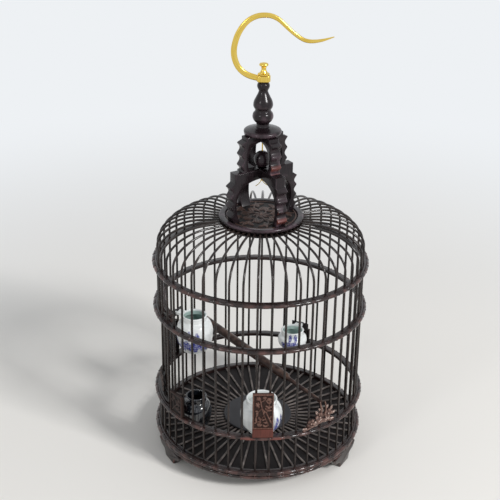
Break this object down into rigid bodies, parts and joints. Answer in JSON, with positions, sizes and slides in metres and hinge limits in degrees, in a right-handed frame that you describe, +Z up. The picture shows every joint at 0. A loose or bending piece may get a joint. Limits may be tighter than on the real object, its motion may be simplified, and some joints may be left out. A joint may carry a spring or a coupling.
{
  "type": "birdcage",
  "caption": "Round hardwood birdcage with bent rods, beaded hoops, carved crown, brass swivel hook, feeding jars, perch, sliding door and bracket feet.",
  "frame": {"origin": "centre of the cage on the plane of the feet", "axes": "+Z up along the axis of the cage, -Y out of the front, where the tall plaque is"},
  "size_m": [0.2836, 0.2838, 0.5959],
  "materials": {
    "hardwood": "polished, near-black brown",
    "rod_wood": "satin dark brown",
    "rosewood": "polished reddish brown",
    "carving": "carved and waxed, light reddish brown",
    "floor_wood": "matt black-brown",
    "brass": "polished",
    "porcelain": "clear glaze over blue painted flowers",
    "dark_glaze": "black-brown gloss glaze"
  },
  "bodies": {
    "root": {"foot_front_left": "hardwood", "foot_front_right": "hardwood", "foot_back": "hardwood", "base_ring_lower": "hardwood", "base_ring_upper": "hardwood", "bottom_board": "floor_wood", "floor_slats": "rod_wood", "floor_disc": "floor_wood", "hoop_shoulder": "hardwood", "hoop_middle": "hardwood", "hoop_low": "hardwood", "rods_01": "rod_wood", "rods_02": "rod_wood", "rods_03": "rod_wood", "rods_04": "rod_wood", "rods_05": "rod_wood", "rods_06": "rod_wood", "rods_07": "rod_wood", "rods_08": "rod_wood", "rods_09": "rod_wood", "rods_10_upper": "rod_wood", "rods_11": "rod_wood", "rods_12": "rod_wood", "top_plate": "hardwood", "clamp_ring": "hardwood", "medallion": "carving", "lower_arch_a": "hardwood", "lower_arch_b": "hardwood", "upper_arch_a": "hardwood", "upper_arch_b": "hardwood", "bead_wire": "brass", "collar": "hardwood", "finial": "hardwood", "hook_pin": "brass", "door_sill": "rod_wood", "door_header": "hardwood", "bracket_front": "hardwood", "bracket_left": "hardwood", "bracket_back_left": "hardwood", "bracket_back_right": "hardwood", "plaque_front_base": "rosewood", "plaque_front": "carving", "plaque_left": "carving", "plaque_back_left": "carving", "plaque_back_right": "carving", "perch": "rosewood", "spray_front": "carving", "spray_back": "carving"},
    "hook": {"hook": "brass"},
    "bead": {"crown_bead": "rosewood"},
    "door": {"door_grille": "rod_wood", "door_top_rail": "hardwood", "door_carving": "carving"},
    "jar_front": {"jar_front": "porcelain"},
    "jar_left": {"jar_left": "dark_glaze"},
    "jar_back_left": {"jar_back_left": "porcelain"},
    "jar_back_right": {"jar_back_right": "porcelain"}
  },
  "joints": [
    {"name": "hook_swivel", "type": "hinge", "parent": "root", "child": "hook", "pos_m": [0, 0, 0.5155], "axis": [0, 0, 1], "continuous": true},
    {"name": "bead_spin", "type": "hinge", "parent": "root", "child": "bead", "pos_m": [0, 0, 0.41135], "axis": [0, 0, 1], "continuous": true},
    {"name": "door_lift", "type": "slide", "parent": "root", "child": "door", "axis": [0, 0, 1], "range_m": [0, 0.08]},
    {"name": "jar_front_lift", "type": "slide", "parent": "root", "child": "jar_front", "axis": [0, 0, 1], "range_m": [0, 0.012]},
    {"name": "jar_left_lift", "type": "slide", "parent": "root", "child": "jar_left", "axis": [0, 0, 1], "range_m": [0, 0.012]},
    {"name": "jar_back_left_lift", "type": "slide", "parent": "root", "child": "jar_back_left", "axis": [0, 0, 1], "range_m": [0, 0.012]},
    {"name": "jar_back_right_lift", "type": "slide", "parent": "root", "child": "jar_back_right", "axis": [0, 0, 1], "range_m": [0, 0.012]}
  ]
}
